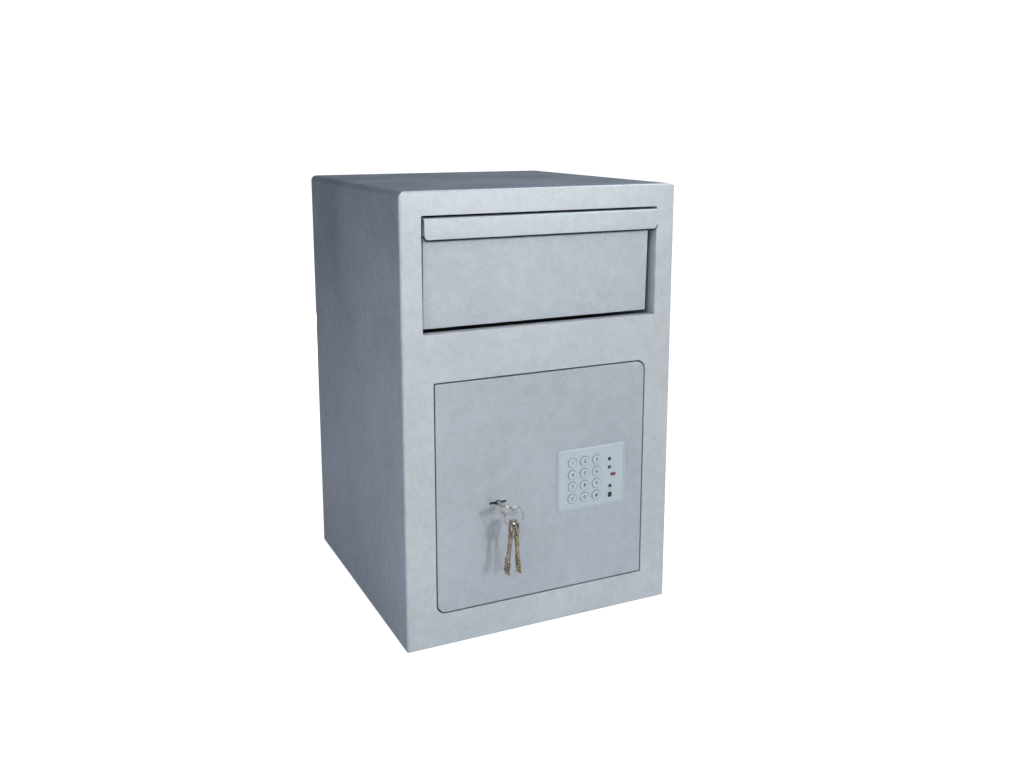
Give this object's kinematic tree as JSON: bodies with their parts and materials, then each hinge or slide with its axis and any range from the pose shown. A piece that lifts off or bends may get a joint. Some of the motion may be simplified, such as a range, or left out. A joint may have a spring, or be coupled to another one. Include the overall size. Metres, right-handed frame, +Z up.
{
  "type": "deposit safe with drawer and keypad door",
  "caption": "Upright sheet-steel deposit safe: pull-out drop drawer with a tipping pan above, flush hinged door with keypad, key lock and key ring below.",
  "frame": {"origin": "centre of the casing's underside, where it stands on the floor", "axes": "+Z up, the front with the drawer and the door faces -Y, +X to the right as seen from the front"},
  "size_m": [0.35, 0.405, 0.53],
  "materials": {
    "paint": "light silver-grey powder coat, satin, very fine texture",
    "zinc": "zinc-plated sheet, dull",
    "steel": "turned and plated steel",
    "brass": "worn polished brass",
    "dark_plastic": "fine-grained moulding",
    "keypad_shell": "satin moulding",
    "keypad_face": "satin label face",
    "keypad_button": "satin moulded buttons"
  },
  "bodies": {
    "cabinet": {"front_fascia": "paint", "body_wrap": "paint", "back_panel": "paint", "bottom_plate": "paint", "drawer_cage": "paint", "drop_shelf": "zinc", "anti_fish_comb": "zinc", "runner_outer_left": "zinc", "runner_outer_right": "zinc", "cam_rail_left": "zinc", "cam_rail_right": "zinc", "hinge_bracket_upper": "zinc", "hinge_bracket_lower": "zinc", "hinge_pin_upper": "steel", "hinge_pin_lower": "steel", "strike_plate": "zinc"},
    "drawer": {"drawer_front": "paint", "drawer_side_left": "paint", "drawer_side_right": "paint", "drawer_front_rail": "zinc", "drawer_rear_rail": "zinc", "flap_rod": "steel", "runner_inner_left": "zinc", "runner_inner_right": "zinc"},
    "runner_mid": {"runner_mid_left": "zinc", "runner_mid_right": "zinc"},
    "pan": {"pan_tray": "zinc", "pan_axle": "steel", "pan_lever_left": "steel", "pan_lever_right": "steel"},
    "flap": {"rear_flap": "zinc"},
    "door": {"door_panel": "paint", "door_frame": "paint", "hinge_block_upper": "zinc", "hinge_block_lower": "zinc", "lock_case": "zinc", "lock_motor": "steel", "control_box": "dark_plastic", "keypad_housing": "keypad_shell", "keypad_face": "keypad_face"},
    "bolts": {"bolt_bar": "steel", "bolt_upper": "steel", "bolt_lower": "steel"},
    "key": {"lock_key": "steel"},
    "key_ring": {"key_ring": "steel"},
    "spare_key_1": {"spare_key_1": "brass"},
    "spare_key_2": {"spare_key_2": "brass"},
    "button_1": {"keypad_button_1": "keypad_button"},
    "button_2": {"keypad_button_2": "keypad_button"},
    "button_3": {"keypad_button_3": "keypad_button"},
    "button_4": {"keypad_button_4": "keypad_button"},
    "button_5": {"keypad_button_5": "keypad_button"},
    "button_6": {"keypad_button_6": "keypad_button"},
    "button_7": {"keypad_button_7": "keypad_button"},
    "button_8": {"keypad_button_8": "keypad_button"},
    "button_9": {"keypad_button_9": "keypad_button"},
    "button_clear": {"keypad_button_clear": "keypad_button"},
    "button_0": {"keypad_button_0": "keypad_button"},
    "button_enter": {"keypad_button_enter": "keypad_button"}
  },
  "joints": [
    {"name": "door_swing", "type": "hinge", "parent": "cabinet", "child": "door", "pos_m": [0.1147, -0.1735, 0.178], "axis": [0, 0, 1], "range_deg": [0, 120]},
    {"name": "drawer_slide", "type": "slide", "parent": "cabinet", "child": "drawer", "axis": [0, -1, 0], "range_m": [0, 0.19]},
    {"name": "drawer_runner", "type": "slide", "parent": "cabinet", "child": "runner_mid", "axis": [0, -1, 0], "range_m": [0, 0.095]},
    {"name": "pan_tilt", "type": "hinge", "parent": "drawer", "child": "pan", "pos_m": [0, 0.04, 0.3825], "axis": [1, 0, 0], "range_deg": [0, 28]},
    {"name": "flap_swing", "type": "hinge", "parent": "drawer", "child": "flap", "pos_m": [0, 0.046, 0.466], "axis": [1, 0, 0], "range_deg": [0, 70]},
    {"name": "key_turn", "type": "hinge", "parent": "door", "child": "key", "pos_m": [-0.0602, -0.2025, 0.1646], "axis": [0, 1, 0], "range_deg": [0, 180]},
    {"name": "bolt_throw", "type": "slide", "parent": "door", "child": "bolts", "axis": [-1, 0, 0], "range_m": [0, 0.016]},
    {"name": "key_ring_turn", "type": "hinge", "parent": "key", "child": "key_ring", "pos_m": [-0.053, -0.2109, 0.1646], "axis": [0, 1, 0], "range_deg": [-180, 0]},
    {"name": "key_spare_1", "type": "hinge", "parent": "key_ring", "child": "spare_key_1", "pos_m": [-0.0556, -0.2109, 0.1449], "axis": [1, 0, 0], "range_deg": [-70, 16]},
    {"name": "key_spare_2", "type": "hinge", "parent": "key_ring", "child": "spare_key_2", "pos_m": [-0.0503, -0.2109, 0.1449], "axis": [1, 0, 0], "range_deg": [-70, 16]},
    {"name": "press_1", "type": "slide", "parent": "door", "child": "button_1", "axis": [0, 1, 0], "range_m": [0, 0.0008], "stiffness_N_per_m": 250},
    {"name": "press_2", "type": "slide", "parent": "door", "child": "button_2", "axis": [0, 1, 0], "range_m": [0, 0.0008], "stiffness_N_per_m": 250},
    {"name": "press_3", "type": "slide", "parent": "door", "child": "button_3", "axis": [0, 1, 0], "range_m": [0, 0.0008], "stiffness_N_per_m": 250},
    {"name": "press_4", "type": "slide", "parent": "door", "child": "button_4", "axis": [0, 1, 0], "range_m": [0, 0.0008], "stiffness_N_per_m": 250},
    {"name": "press_5", "type": "slide", "parent": "door", "child": "button_5", "axis": [0, 1, 0], "range_m": [0, 0.0008], "stiffness_N_per_m": 250},
    {"name": "press_6", "type": "slide", "parent": "door", "child": "button_6", "axis": [0, 1, 0], "range_m": [0, 0.0008], "stiffness_N_per_m": 250},
    {"name": "press_7", "type": "slide", "parent": "door", "child": "button_7", "axis": [0, 1, 0], "range_m": [0, 0.0008], "stiffness_N_per_m": 250},
    {"name": "press_8", "type": "slide", "parent": "door", "child": "button_8", "axis": [0, 1, 0], "range_m": [0, 0.0008], "stiffness_N_per_m": 250},
    {"name": "press_9", "type": "slide", "parent": "door", "child": "button_9", "axis": [0, 1, 0], "range_m": [0, 0.0008], "stiffness_N_per_m": 250},
    {"name": "press_clear", "type": "slide", "parent": "door", "child": "button_clear", "axis": [0, 1, 0], "range_m": [0, 0.0008], "stiffness_N_per_m": 250},
    {"name": "press_0", "type": "slide", "parent": "door", "child": "button_0", "axis": [0, 1, 0], "range_m": [0, 0.0008], "stiffness_N_per_m": 250},
    {"name": "press_enter", "type": "slide", "parent": "door", "child": "button_enter", "axis": [0, 1, 0], "range_m": [0, 0.0008], "stiffness_N_per_m": 250}
  ],
  "couplings": [
    {"joint": "drawer_runner", "follows": "drawer_slide", "ratio": 0.5},
    {"joint": "pan_tilt", "follows": "drawer_slide", "rad_per_m": 2.572},
    {"joint": "key_turn", "follows": "bolt_throw", "rad_per_m": 196.3},
    {"joint": "key_ring_turn", "follows": "bolt_throw", "rad_per_m": -196.3}
  ]
}
